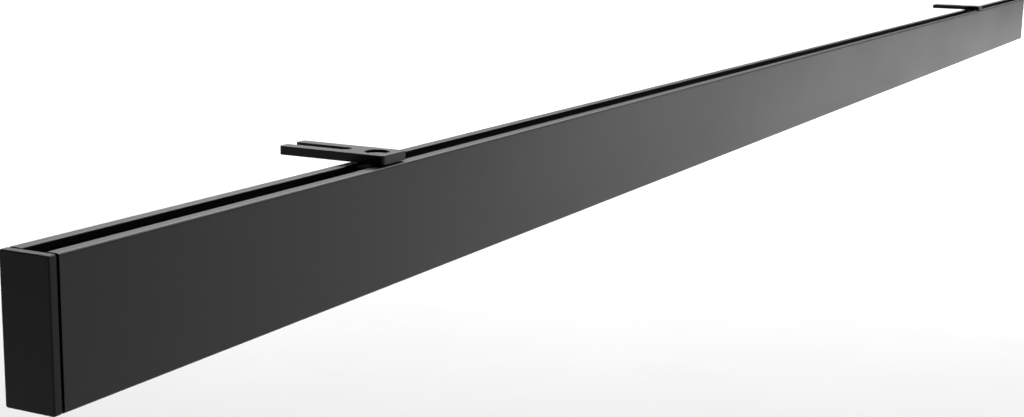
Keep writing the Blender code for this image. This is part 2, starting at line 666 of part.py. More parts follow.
def make_inlet():
    face = OVERALL_LENGTH / 2
    flange_low = FIT
    flange_high = flange_low + INLET_FLANGE_THICKNESS
    nose_top = flange_high + INLET_NOSE_LENGTH
    root = INLET_NOSE_RADIUS - INLET_THREAD_DEPTH
    seal_outer = SEAL_RADIUS + SEAL_THICKNESS / 2 + FIT
    seal_inner = SEAL_RADIUS - SEAL_THICKNESS / 2 - FIT
    seal_top = flange_low + SEAL_THICKNESS + FIT

    # the nose's thread, as ridges one pitch apart
    thread = []
    for turn in range(INLET_THREAD_TURNS):
        crest = nose_top - INLET_CHAMFER - turn * INLET_THREAD_PITCH
        thread += [
            (INLET_NOSE_RADIUS, crest - 0.3 * INLET_THREAD_PITCH),
            (INLET_NOSE_RADIUS, crest - 0.45 * INLET_THREAD_PITCH),
            (root, crest - 0.8 * INLET_THREAD_PITCH),
            (root, crest - INLET_THREAD_PITCH),
        ]
    profile = [
        (INLET_NOSE_BORE, INLET_FLANGE_THICKNESS),
        (INLET_NOSE_BORE, nose_top),
        (root, nose_top),
        *thread,
        (root, flange_high),
        (INLET_FLANGE_RADIUS - INLET_CHAMFER, flange_high),
        (INLET_FLANGE_RADIUS, flange_high - INLET_CHAMFER),
        (INLET_FLANGE_RADIUS, flange_low),
        (seal_outer, flange_low),
        (seal_outer, seal_top),
        (seal_inner, seal_top),
        (seal_inner, flange_low),
        (INLET_SHANK_RADIUS, flange_low),
        (INLET_SHANK_RADIUS, -INLET_SHANK_LENGTH),
        (INLET_BORE_RADIUS, -INLET_SHANK_LENGTH),
        (INLET_BORE_RADIUS, INLET_FLANGE_THICKNESS),
        (INLET_NOSE_BORE, INLET_FLANGE_THICKNESS),
    ]
    place = (face, 0.0, INLET_Z)
    nickel = material("inlet_shell_nickel", (0.62, 0.60, 0.56), 0.3, 1.0)
    turned("inlet_shell", profile, place, TURNED_ALONG_X, nickel)

    insulator = cylinder(
        "inlet_insulator", INLET_BORE_RADIUS - FIT,
        (face - INLET_SHANK_LENGTH, 0.0, INLET_Z), (face + INLET_FLANGE_THICKNESS + PAST, 0.0, INLET_Z),
        material("inlet_insulator_nylon", (0.03, 0.03, 0.032), 0.5),
    )
    for number, (pin_y, pin_z) in enumerate(pin_places(), 1):
        pin_hole = cylinder(
            f"pin_hole_{number}", PIN_RADIUS + FIT,
            (PIN_REAR - PAST, pin_y, pin_z), (PIN_FRONT + PAST, pin_y, pin_z),
            None, CUTTERS, 16,
        )
        combine(insulator, pin_hole, "DIFFERENCE")
        pin = cylinder(
            f"inlet_pin_{number}", PIN_RADIUS,
            (PIN_REAR, pin_y, pin_z), (PIN_FRONT, pin_y, pin_z),
            material(f"inlet_pin_{number}_gold", (0.85, 0.62, 0.22), 0.25, 1.0), steps=16,
        )
        soften(pin, PIN_TIP_EDGE)

    bpy.ops.mesh.primitive_torus_add(
        major_segments=ROUND_STEPS,
        minor_segments=10,
        major_radius=SEAL_RADIUS,
        minor_radius=SEAL_THICKNESS / 2,
        location=(face + flange_low + SEAL_THICKNESS / 2, 0.0, INLET_Z),
        rotation=TURNED_ALONG_X,
    )
    seal = bpy.context.object
    seal.name = "inlet_seal"
    seal.data.materials.append(material("inlet_seal_rubber", (0.015, 0.015, 0.015), 0.75))
    for collection in list(seal.users_collection):
        collection.objects.unlink(seal)
    bpy.data.collections[PARTS].objects.link(seal)


# ---------------------------------------------------------------- brackets
def plate_outline():
    """The bracket plate from above: square at the front, an open fork at the back."""
    half = PLATE_WIDTH / 2
    fork_half = FORK_WIDTH / 2
    corners = [
        (half, PLATE_FRONT, PLATE_CORNER),
        (half, PLATE_BACK, PLATE_CORNER),
        (fork_half, PLATE_BACK, FORK_TIP_RADIUS),
    ]
    right = rounded([*corners, (fork_half, FORK_START + fork_half, 0.0), (0.0, PLATE_FRONT, 0.0)])[:-1]
    steps = 2 * ARC_STEPS
    bend = []
    for step in range(1, steps):
        angle = -math.pi * step / steps
        bend.append(Vector((
            fork_half * math.cos(angle),
            FORK_START + fork_half + fork_half * math.sin(angle),
        )))
    left = [Vector((-point.x, point.y)) for point in reversed(right)]
    return right + bend + left


def make_bracket(name, axis_x):
    """A bracket's three pieces, on an empty that stands on its clamp screw's axis."""
    axis = bpy.data.objects.new(name + "_clamp_axis", None)
    bpy.data.collections[PARTS].objects.link(axis)
    axis.location = (axis_x, 0.0, BODY_HEIGHT)

    # plate, with a counterbored hole over the slot
    paint = material(name + "_bracket_paint", (0.03, 0.03, 0.032), 0.4)
    plate = extrude(
        name + "_bracket_plate", [plate_outline(), circle(HOLE_RADIUS)], PLATE_THICKNESS, paint,
        (axis_x, 0.0, PLATE_BOTTOM + PLATE_THICKNESS / 2), (0.0, 0.0, 0.0),
    )
    soften(plate, PLATE_EDGE)
    seat = PLATE_TOP - COUNTERBORE_DEPTH
    counterbore = cylinder(
        name + "_counterbore", COUNTERBORE_RADIUS,
        (axis_x, 0.0, seat), (axis_x, 0.0, PLATE_TOP + PAST), None, CUTTERS,
    )
    combine(plate, counterbore, "DIFFERENCE")

    # low-head cap screw, with a hexagonal socket
    head_bottom = seat + SCREW_SEAT_GAP
    head_top = head_bottom + SCREW_HEAD_HEIGHT
    tip = T_NUT_BOTTOM - 0.5 * MM
    profile = [
        (0.0, head_top),
        (SCREW_HEAD_RADIUS - SCREW_HEAD_EDGE, head_top),
        (SCREW_HEAD_RADIUS, head_top - SCREW_HEAD_EDGE),
        (SCREW_HEAD_RADIUS, head_bottom),
        (SCREW_RADIUS, head_bottom),
        (SCREW_RADIUS, tip + SCREW_TIP_CHAMFER),
        (SCREW_RADIUS - SCREW_TIP_CHAMFER, tip),
        (0.0, tip),
    ]
    steel = material(name + "_screw_steel", (0.10, 0.10, 0.105), 0.35, 1.0)
    screw = turned(name + "_clamp_screw", profile, (axis_x, 0.0, 0.0), (0.0, 0.0, 0.0), steel)
    socket = cylinder(
        name + "_screw_socket", SCREW_SOCKET_RADIUS,
        (axis_x, 0.0, head_top - SCREW_SOCKET_DEPTH), (axis_x, 0.0, head_top + PAST),
        None, CUTTERS, 6,
    )
    combine(screw, socket, "DIFFERENCE")

    # T-nut under the lips
    section = mirrored([
        (T_NUT_NECK_HALF, T_NUT_TOP, T_NUT_EDGE),
        (T_NUT_NECK_HALF, T_NUT_SHOULDER, 0.0),
        (T_NUT_HALF, T_NUT_SHOULDER, T_NUT_EDGE),
        (T_NUT_HALF, T_NUT_BOTTOM, T_NUT_EDGE),
    ])
    zinc = material(name + "_t_nut_zinc", (0.55, 0.56, 0.58), 0.35, 1.0)
    nut = extrude(name + "_t_nut", [rounded(section)], T_NUT_LENGTH, zinc, (axis_x, 0.0, 0.0))
    thread = cylinder(
        name + "_t_nut_thread", SCREW_RADIUS + FIT,
        (axis_x, 0.0, T_NUT_BOTTOM - PAST), (axis_x, 0.0, T_NUT_TOP + PAST),
        None, CUTTERS,
    )
    combine(nut, thread, "DIFFERENCE")

    bpy.context.view_layer.update()
    for piece in (plate, screw, nut):
        piece.parent = axis
        piece.matrix_parent_inverse = axis.matrix_world.inverted()


def main():
    start_scene()
    make_extrusion()
    make_diffuser()
    make_end_caps()
    make_gasket("near_cap_gasket", -1)
    make_gasket("far_cap_gasket", 1)
    make_led_boards()
    make_control_board()
    make_capacitors()
    make_terminals()
    make_leads()
    make_inlet()
    make_bracket("near", NEAR_BRACKET_X)
    make_bracket("far", FAR_BRACKET_X)


main()
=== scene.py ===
"""Looks of the LED strip batten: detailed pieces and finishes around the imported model.

The bar lies along X, with its plain near end at -X, its front face at -Y and its T-slot on top.
Every piece is built in place, in metres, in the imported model's own frame.
"""

import math

import bmesh
import bpy
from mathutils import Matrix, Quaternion, Vector


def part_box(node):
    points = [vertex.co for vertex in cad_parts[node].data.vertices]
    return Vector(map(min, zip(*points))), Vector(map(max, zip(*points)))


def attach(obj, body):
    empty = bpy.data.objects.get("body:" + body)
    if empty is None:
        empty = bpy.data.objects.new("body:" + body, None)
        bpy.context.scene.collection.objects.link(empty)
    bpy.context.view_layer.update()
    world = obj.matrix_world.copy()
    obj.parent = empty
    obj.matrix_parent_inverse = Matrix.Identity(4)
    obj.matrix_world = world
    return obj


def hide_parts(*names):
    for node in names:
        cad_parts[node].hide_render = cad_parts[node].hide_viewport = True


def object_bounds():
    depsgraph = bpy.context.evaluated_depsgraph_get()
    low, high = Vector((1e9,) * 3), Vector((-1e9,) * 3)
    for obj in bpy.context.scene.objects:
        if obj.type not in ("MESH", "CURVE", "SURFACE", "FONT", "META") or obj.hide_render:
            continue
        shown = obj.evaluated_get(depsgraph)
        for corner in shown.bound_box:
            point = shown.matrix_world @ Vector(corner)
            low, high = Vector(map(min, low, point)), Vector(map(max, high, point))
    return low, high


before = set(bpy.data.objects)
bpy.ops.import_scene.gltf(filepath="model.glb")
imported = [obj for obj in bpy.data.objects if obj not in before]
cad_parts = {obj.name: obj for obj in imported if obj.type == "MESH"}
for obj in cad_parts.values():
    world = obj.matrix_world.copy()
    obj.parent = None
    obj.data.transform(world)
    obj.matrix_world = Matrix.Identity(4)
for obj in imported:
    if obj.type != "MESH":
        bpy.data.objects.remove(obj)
cad_low, cad_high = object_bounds()

MM = 0.001

# ---------------------------------------------------------------- sizes
BODY_LOW, BODY_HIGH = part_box("extrusion")
BODY_HALF = BODY_HIGH.y
BODY_HEIGHT = BODY_HIGH.z
EDGE_RADIUS = 1.0 * MM
INNER_RADIUS = 0.5 * MM
MOUTH_HALF = BODY_HALF / 2
LIP_UNDERSIDE = BODY_HEIGHT - 2.6 * MM
SLOT_FLOOR = LIP_UNDERSIDE - 6.4 * MM
SLOT_GUIDE_HALF = 0.6 * MM       # half width of the centring groove in the slot's floor
CAVITY_HALF = 8.8 * MM
CHAMBER_HALF = 9.3 * MM
TUBE_TOP = 46.0 * MM
TUBE_BOTTOM = 21.0 * MM
GROOVE_HALF = 10.0 * MM
GROOVE_BOTTOM, GROOVE_TOP = 27.0 * MM, 28.9 * MM
LED_CHAMBER_TOP = 19.0 * MM
LEG_INNER = 8.8 * MM
FLANGE_HALF = 10.2 * MM
FLANGE_BOTTOM, FLANGE_TOP = 2.6 * MM, 4.8 * MM
WINDOW_THICKNESS = 2.0 * MM
WINDOW_RIB_INNER = 7.0 * MM
PLUG_WALL = 1.5 * MM
PLUG_SLIP = 0.2 * MM             # between the cap's plug and the bar's inside
PLUG_ROOT = 0.4 * MM             # how far the plug reaches into the cap's plate
CAP_BORE_RADIUS = 5.75 * MM
CAP_EDGE = 0.6 * MM
CAP_THICKNESS = 3.55 * MM
CAP_JOINT = 1.5 * MM

PLATE_EDGE = 0.4 * MM
PLATE_CORNER = 1.6 * MM
FORK_HALF = 3.5 * MM
FORK_START = 14.4 * MM
FORK_TIP_RADIUS = 1.2 * MM
HOLE_RADIUS = 3.4 * MM
COUNTERBORE_RADIUS = 5.8 * MM
COUNTERBORE_DEPTH = 2.7 * MM
HOLE_EDGE = 0.25 * MM
T_NUT_NECK_HALF = 5.3 * MM
T_NUT_BORE_RADIUS = 3.15 * MM
T_NUT_EDGE = 0.35 * MM

SCREW_ROOT, SCREW_CREST = 2.6 * MM, 3.0 * MM
SCREW_PITCH = 1.0 * MM
SCREW_HEAD_RADIUS = 5.25 * MM
SCREW_HEAD_HEIGHT = 1.5 * MM
SCREW_HEAD_EDGE = 0.3 * MM
SOCKET_RADIUS = 2.0 * MM
SOCKET_DEPTH = 1.4 * MM

INLET_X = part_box("far_end_cap")[1].x
INLET_Z = (TUBE_TOP + TUBE_BOTTOM) / 2
NOSE_ROOT, NOSE_CREST = 5.5 * MM, 6.0 * MM
NOSE_BORE = 4.9 * MM
FLANGE_RADIUS = 8.5 * MM

SKY_TOWARD = (0.80, 0.58, 0.12)
SKY_FROM, SKY_TO = 0.55, 0.90    # cosines between which the sky brightens
SKY_DARK, SKY_BRIGHT = 0.50, 2.0
SOFTBOXES = {                    # place, side and watts of each
    "softbox_behind": ((9.5, 6.5, 7.0), 15.0, 2500.0),
    "softbox_front": ((11.5, -6.5, 7.0), 9.0, 850.0),
}
FLOOR_DROP = 0.8                 # from the bar's underside, in metres
FLOOR_REACH = 80.0
CAMERA_AWAY, CAMERA_LEFT, CAMERA_UP = 6.899, 6.490, 3.078    # bar heights, from the near joint
CAMERA_HEADING, CAMERA_PITCH, CAMERA_ROLL = 26.69, -10.92, 1.06
CAMERA_LENS, CAMERA_SENSOR = 54.97, 36.0

FIT = 0.15 * MM
STEPS = 64                       # sides of a turned piece
ARC_STEPS = 8                    # sides of a rounded corner


# ---------------------------------------------------------------- finishes
class Finish:
    """A material whose colour, roughness and bump vary over the surface."""

    def __init__(self, name, roughness, metallic=0.0, specular=0.5):
        self.material = bpy.data.materials.new(name)
        self.material.use_nodes = True
        self.tree = self.material.node_tree
        self.shader = self.tree.nodes["Principled BSDF"]
        self.shader.inputs["Roughness"].default_value = roughness
        self.shader.inputs["Metallic"].default_value = metallic
        self.shader.inputs["Specular IOR Level"].default_value = specular
        self.place = self.node("ShaderNodeTexCoord").outputs["Object"]

    def node(self, kind, **settings):
        made = self.tree.nodes.new(kind)
        for name, value in settings.items():
            setattr(made, name, value)
        return made

    def link(self, source, target):
        self.tree.links.new(source, target)

    def noise(self, size, detail=3.0, stretch=(1.0, 1.0, 1.0)):
        """Noise whose features are about one size long, stretched along the axes."""
        mapping = self.node("ShaderNodeMapping")
        mapping.inputs["Scale"].default_value = [1.0 / (size * share) for share in stretch]
        self.link(self.place, mapping.inputs["Vector"])
        texture = self.node("ShaderNodeTexNoise")
        texture.inputs["Scale"].default_value = 1.0
        texture.inputs["Detail"].default_value = detail
        self.link(mapping.outputs["Vector"], texture.inputs["Vector"])
        return texture.outputs["Fac"]

    def spread(self, source, low, high, from_low=0.3, from_high=0.7):
        ranged = self.node("ShaderNodeMapRange")
        ranged.inputs["From Min"].default_value = from_low
        ranged.inputs["From Max"].default_value = from_high
        ranged.inputs["To Min"].default_value = low
        ranged.inputs["To Max"].default_value = high
        self.link(source, ranged.inputs["Value"])
        return ranged.outputs["Result"]

    def mix(self, share, first, second):
        """Colours mixed by a varying share. Each is a colour or another mix."""
        mixed = self.node("ShaderNodeMix", data_type="RGBA")
        self.link(share, mixed.inputs["Factor"])
        for value, socket in ((first, mixed.inputs[6]), (second, mixed.inputs[7])):
            if isinstance(value, tuple):
                socket.default_value = (*value, 1.0)
            else:
                self.link(value, socket)
        return mixed.outputs[2]

    def edges(self, radius, low=0.02, high=0.25):
        """1 along convex and concave edges, 0 on flat surfaces."""
        rounded_normal = self.node("ShaderNodeBevel", samples=6)
        rounded_normal.inputs["Radius"].default_value = radius
        dot = self.node("ShaderNodeVectorMath", operation="DOT_PRODUCT")
        self.link(rounded_normal.outputs["Normal"], dot.inputs[0])
        self.link(self.node("ShaderNodeNewGeometry").outputs["Normal"], dot.inputs[1])
        return self.spread(dot.outputs["Value"], 1.0, 0.0, 1.0 - high, 1.0 - low)

    def bump(self, height, distance, strength=1.0):
        made = self.node("ShaderNodeBump")
        made.inputs["Distance"].default_value = distance
        made.inputs["Strength"].default_value = strength
        self.link(height, made.inputs["Height"])
        self.link(made.outputs["Normal"], self.shader.inputs["Normal"])

    def colour(self, source):
        self.link(source, self.shader.inputs["Base Color"])

    def roughness(self, source):
        self.link(source, self.shader.inputs["Roughness"])


def scaled(colour, share):
    return tuple(channel * share for channel in colour)


def powder_coat(name, colour, roughness, specular):
    """Satin powder coat: fine orange peel, faint clouds, and edges rubbed a little lighter."""
    made = Finish(name, roughness, specular=specular)
    clouds = made.noise(45.0 * MM, 4.0, (3.0, 1.0, 1.0))
    rubbed = made.node("ShaderNodeMath", operation="MULTIPLY")
    made.link(made.edges(0.5 * MM), rubbed.inputs[0])
    made.link(made.spread(made.noise(5.0 * MM, 5.0), 0.0, 0.7, 0.42, 0.66), rubbed.inputs[1])
    coat = made.mix(made.spread(clouds, 0.0, 1.0), scaled(colour, 0.88), scaled(colour, 1.14))
    made.colour(made.mix(rubbed.outputs[0], coat, scaled(colour, 3.0)))
    made.roughness(made.spread(clouds, roughness - 0.015, roughness + 0.015))
    made.bump(made.noise(0.9 * MM, 3.0), 0.006 * MM, 0.6)
    return made.material


def metal(name, colour, roughness, grain=(12.0, 1.0, 1.0), specular=0.5):
    """Bare or plated metal with fine machining lines along one axis."""
    made = Finish(name, roughness, 1.0, specular)
    lines = made.noise(0.25 * MM, 4.0, grain)
    stain = made.noise(7.0 * MM, 4.0)
    made.colour(made.mix(made.spread(stain, 0.0, 1.0), scaled(colour, 0.82), scaled(colour, 1.06)))
    made.roughness(made.spread(lines, roughness - 0.07, roughness + 0.1))
    made.bump(lines, 0.0015 * MM, 0.5)
    return made.material


def moulded(name, colour, roughness, grain=0.25 * MM, depth=0.004 * MM, specular=0.5):
    """Moulded plastic or rubber: a fine spark-eroded grain and slight colour drift."""
    made = Finish(name, roughness, specular=specular)
    drift = made.noise(9.0 * MM, 3.0)
    made.colour(made.mix(made.spread(drift, 0.0, 1.0), scaled(colour, 0.9), scaled(colour, 1.08)))
    made.roughness(made.spread(made.noise(2.0 * MM), roughness - 0.06, roughness + 0.06))
    made.bump(made.noise(grain, 3.0), depth, 0.7)
    return made.material


def opal(name):
    """Extruded opal acrylic: soft inner glow of scattered light and faint die lines."""
    made = Finish(name, 0.38)
    die_lines = made.noise(0.5 * MM, 2.0, (900.0, 1.0, 1.0))
    clouds = made.noise(60.0 * MM, 2.0, (4.0, 1.0, 1.0))
    made.colour(made.mix(made.spread(clouds, 0.0, 1.0), (0.80, 0.81, 0.80), (0.87, 0.875, 0.86)))
    made.roughness(made.spread(die_lines, 0.32, 0.46))
    made.bump(die_lines, 0.004 * MM, 0.4)
    made.shader.inputs["Subsurface Weight"].default_value = 0.35
    made.shader.inputs["Subsurface Radius"].default_value = (3.0 * MM, 3.0 * MM, 2.8 * MM)
    return made.material


def circuit(name, mask, track, pitch):
    """Solder mask over copper tracks that run along the board and step across it."""
    made = Finish(name, 0.42)
    mapping = made.node("ShaderNodeMapping")
    mapping.inputs["Scale"].default_value = (1.0 / (6.0 * pitch), 1.0 / pitch, 1.0)
    made.link(made.place, mapping.inputs["Vector"])
    cells = made.node("ShaderNodeTexVoronoi", feature="DISTANCE_TO_EDGE", distance="CHEBYCHEV")
    cells.inputs["Scale"].default_value = 1.0
    cells.inputs["Randomness"].default_value = 0.35
    made.link(mapping.outputs["Vector"], cells.inputs["Vector"])
    tracks = made.spread(cells.outputs["Distance"], 1.0, 0.0, 0.10, 0.14)
    weave = made.noise(0.6 * MM, 2.0)
    base = made.mix(made.spread(weave, 0.0, 1.0), scaled(mask, 0.93), scaled(mask, 1.05))
    made.colour(made.mix(tracks, base, track))
    made.roughness(made.spread(weave, 0.36, 0.48))
    made.bump(tracks, 0.03 * MM, 0.6)
    return made.material


BLACK = (0.0068, 0.0067, 0.0070)
body_paint = powder_coat("satin_black_profile", BLACK, 0.34, 0.40)
cap_paint = powder_coat("satin_black_cap", scaled(BLACK, 0.85), 0.46, 0.34)
bracket_paint = powder_coat("satin_black_bracket", scaled(BLACK, 1.1), 0.38, 0.42)
opal_acrylic = opal("opal_acrylic")
gasket_rubber = moulded("gasket_rubber", (0.010, 0.010, 0.010), 0.75, 0.4 * MM, 0.008 * MM, 0.3)
seal_rubber = moulded("seal_rubber", (0.012, 0.012, 0.012), 0.55, 0.3 * MM, 0.003 * MM)
tape_film = moulded("thermal_tape_film", (0.50, 0.52, 0.55), 0.65, 1.2 * MM, 0.02 * MM)
natural_nylon = moulded("natural_nylon", (0.78, 0.75, 0.66), 0.45)
black_nylon = moulded("black_nylon", (0.018, 0.018, 0.019), 0.48)
chip_epoxy = moulded("chip_epoxy", (0.016, 0.016, 0.018), 0.55, 0.12 * MM, 0.006 * MM)
ferrite = moulded("inductor_ferrite", (0.060, 0.060, 0.064), 0.62, 0.3 * MM, 0.012 * MM)
ceramic = moulded("fuse_ceramic", (0.72, 0.69, 0.60), 0.35, 0.5 * MM, 0.003 * MM)
sleeve = moulded("capacitor_sleeve", (0.015, 0.022, 0.070), 0.30, 1.5 * MM, 0.006 * MM)
led_housing = moulded("led_housing", (0.86, 0.86, 0.83), 0.40)
led_fill = moulded("led_clear_fill", (0.62, 0.60, 0.42), 0.12, 1.0 * MM, 0.001 * MM)
white_mask = circuit("white_solder_mask", (0.78, 0.79, 0.76), (0.70, 0.71, 0.69), 1.8 * MM)
green_mask = circuit("green_solder_mask", (0.010, 0.105, 0.040), (0.022, 0.180, 0.065), 1.0 * MM)
nickel = metal("nickel_plate", (0.60, 0.58, 0.53), 0.24)
gold = metal("gold_plate", (0.88, 0.62, 0.24), 0.20)
tin = metal("tinned_leads", (0.66, 0.66, 0.64), 0.30)
black_oxide = metal("black_oxide_steel", (0.055, 0.055, 0.058), 0.34, (1.0, 1.0, 1.0))
zinc = metal("zinc_plate", (0.56, 0.58, 0.60), 0.32)
LEAD_COLOURS = {
    "inlet_lead_1": (0.42, 0.016, 0.014),
    "inlet_lead_2": (0.014, 0.014, 0.014),
    "inlet_lead_3": (0.012, 0.170, 0.045),
    "inlet_lead_4": (0.70, 0.69, 0.66),
    "led_lead": (0.24, 0.24, 0.25),
}


# ---------------------------------------------------------------- outlines
def arc_corner(before, here, after, radius):
    """The points of one rounded corner of an outline."""
    here, before, after = Vector(here), Vector(before), Vector(after)
    if radius == 0.0:
        return [here]
    to_before, to_after = (before - here).normalized(), (after - here).normalized()
    half_angle = to_before.angle(to_after) / 2
    centre = here + (to_before + to_after).normalized() * radius / math.sin(half_angle)
    start = here + to_before * radius / math.tan(half_angle) - centre
    end = here + to_after * radius / math.tan(half_angle) - centre
    sweep = -start.angle_signed(end)
    points = []
    for step in range(ARC_STEPS + 1):
        cosine, sine = math.cos(sweep * step / ARC_STEPS), math.sin(sweep * step / ARC_STEPS)
        turned_point = (start.x * cosine - start.y * sine, start.x * sine + start.y * cosine)
        points.append(centre + Vector(turned_point))
    return points


def rounded(corners):
    """Points of an outline whose corners are (u, v, radius)."""
    points = []
    for index, (u, v, radius) in enumerate(corners):
        after = corners[(index + 1) % len(corners)]
        points += arc_corner(corners[index - 1][:2], (u, v), after[:2], radius)
    return points


def mirrored(half):
    return half + [(-u, v, radius) for u, v, radius in reversed(half)]


def rectangle(half_width, bottom, top, radius):
    return rounded(mirrored([(half_width, top, radius), (half_width, bottom, radius)]))


def circle(radius, steps=STEPS):
    turns = [2 * math.pi * step / steps for step in range(steps)]
    return [Vector((radius * math.cos(turn), radius * math.sin(turn))) for turn in turns]


# ---------------------------------------------------------------- mesh building
def along_x(u, v, w):
    """An outline in the Y-Z plane, swept along X."""
    return Vector((w, u, v))


def upright(u, v, w):
    return Vector((u, v, w))


def moved(place, offset):
    return lambda u, v, w: place(u, v, w) + Vector(offset)


def fill(shape, outlines, depth, place, slot):
    """A flat face between an outline and its holes. Returns the rings of vertices."""
    rings, edges = [], []
    for outline in outlines:
        ring = [shape.verts.new(place(point[0], point[1], depth)) for point in outline]
        edges += [shape.edges.new((ring[i - 1], ring[i])) for i in range(len(ring))]
        rings.append(ring)
    filled = bmesh.ops.triangle_fill(shape, use_beauty=True, use_dissolve=True, edges=edges)
    for face in filled["geom"]:
        if isinstance(face, bmesh.types.BMFace):
            face.material_index = slot
    return rings


def bridge(shape, first, second, slot):
    """Faces between two rings. A ring of one vertex is a point on the axis."""
    for index in range(max(len(first), len(second))):
        after = (index + 1) % max(len(first), len(second))
        corners = [
            first[index % len(first)], first[after % len(first)],
            second[after % len(second)], second[index % len(second)],
        ]
        corners = list(dict.fromkeys(corners))
        if len(corners) > 2:
            shape.faces.new(corners).material_index = slot


def add_prism(shape, outlines, low, high, place=along_x, slot=0):
    first = fill(shape, outlines, low, place, slot)
    second = fill(shape, outlines, high, place, slot)
    for low_ring, high_ring in zip(first, second):
        bridge(shape, low_ring, high_ring, slot)


def add_turned(shape, profile, place, slot=0, steps=STEPS):
    """A turned surface. A point is (radius, height), or (radius, height, 6) on a hexagon."""
    rings = []
    for radius, height, *sides in profile:
        if radius == 0.0:
            rings.append([shape.verts.new(place(0.0, 0.0, height))])
            continue
        ring = []
        for step in range(steps):
            turn = 2 * math.pi * step / steps
            reach = radius
            if sides:
                sector = 2 * math.pi / sides[0]
                reach *= math.cos(sector / 2) / math.cos(turn % sector - sector / 2)
            spot = place(reach * math.cos(turn), reach * math.sin(turn), height)
            ring.append(shape.verts.new(spot))
        rings.append(ring)
    for first, second in zip(rings, rings[1:]):
        bridge(shape, first, second, slot)


def add_thread(shape, root, crest, start, end, pitch, place, slot=0):
    """A helical thread that runs out to its root at both ends."""
    tooth = ((root, 0.0), (crest, 0.36), (crest, 0.50), (root, 0.86))
    rows = []
    for turn in range(-1, math.ceil((end - start) / pitch) + 1):
        for radius, share in tooth:
            row = []
            for step in range(STEPS + 1):
                angle = 2 * math.pi * step / STEPS
                free = start + (turn + share + step / STEPS) * pitch
                height = min(max(free, start), end)
                fade = min(1.0, (height - start) / pitch, (end - height) / pitch)
                reach = root + (radius - root) * fade
                row.append(place(reach * math.cos(angle), reach * math.sin(angle), height))
            rows.append(row)
    for low, high in zip(rows, rows[1:]):
        for step in range(STEPS):
            corners = [low[step], low[step + 1], high[step + 1], high[step]]
            if (corners[0] - corners[3]).length + (corners[1] - corners[2]).length > 1e-9:
                verts = [shape.verts.new(corner) for corner in corners]
                shape.faces.new(verts).material_index = slot


def add_box(shape, low, high, bevel=0.0, slot=0, segments=3):
    low, high = Vector(low), Vector(high)
    made = bmesh.ops.create_cube(shape, size=1.0)["verts"]
    bmesh.ops.scale(shape, vec=high - low, verts=made)
    bmesh.ops.translate(shape, vec=(low + high) / 2, verts=made)
    edges = list({edge for vert in made for edge in vert.link_edges})
    for face in {face for vert in made for face in vert.link_faces}:
        face.material_index = slot
    if bevel:
        bmesh.ops.bevel(
            shape, geom=edges, offset=bevel, segments=segments, profile=0.5,
            affect="EDGES", clamp_overlap=True, material=-1,
        )


def weld(shape):
    bmesh.ops.remove_doubles(shape, verts=shape.verts, dist=0.0005 * MM)
    bmesh.ops.dissolve_degenerate(shape, edges=shape.edges, dist=0.0005 * MM)


def round_edges(shape, offset, segments=3, keep=lambda edge: True):
    """Rounds the edges that are sharper than 50 degrees."""
    weld(shape)
    bmesh.ops.recalc_face_normals(shape, faces=shape.faces)
    sharp = [
        edge for edge in shape.edges
        if len(edge.link_faces) == 2 and edge.calc_face_angle() > math.radians(50) and keep(edge)
    ]
    bmesh.ops.bevel(
        shape, geom=sharp, offset=offset, segments=segments, profile=0.5,
        affect="EDGES", clamp_overlap=True, material=-1,
    )


def outside(axis_x, radius):
    """A test that keeps the edges outside an upright round hole."""
    axis = Vector((axis_x, 0.0))
    return lambda edge: all((vert.co.xy - axis).length > radius for vert in edge.verts)


def piece(name, shape, materials, body, slot, *replaced):
    """Turns a bmesh into a piece that rides on a body and stands for CAD nodes."""
    weld(shape)
    bmesh.ops.recalc_face_normals(shape, faces=shape.faces)
    mesh = bpy.data.meshes.new(name)
    shape.to_mesh(mesh)
    shape.free()
    for material in materials:
        mesh.materials.append(material)
    mesh.shade_smooth()
    mesh.set_sharp_from_angle(angle=math.radians(32))
    made = bpy.data.objects.new(name, mesh)
    bpy.context.scene.collection.objects.link(made)
    made.modifiers.new("flat_faces_stay_flat", "WEIGHTED_NORMAL").keep_sharp = True
    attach(made, body)
    if replaced:
        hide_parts(*replaced)
    return made


def dress(node, material):
    """Gives a CAD node a better material."""
    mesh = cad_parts[node].data
    mesh.materials.clear()
    mesh.materials.append(material)


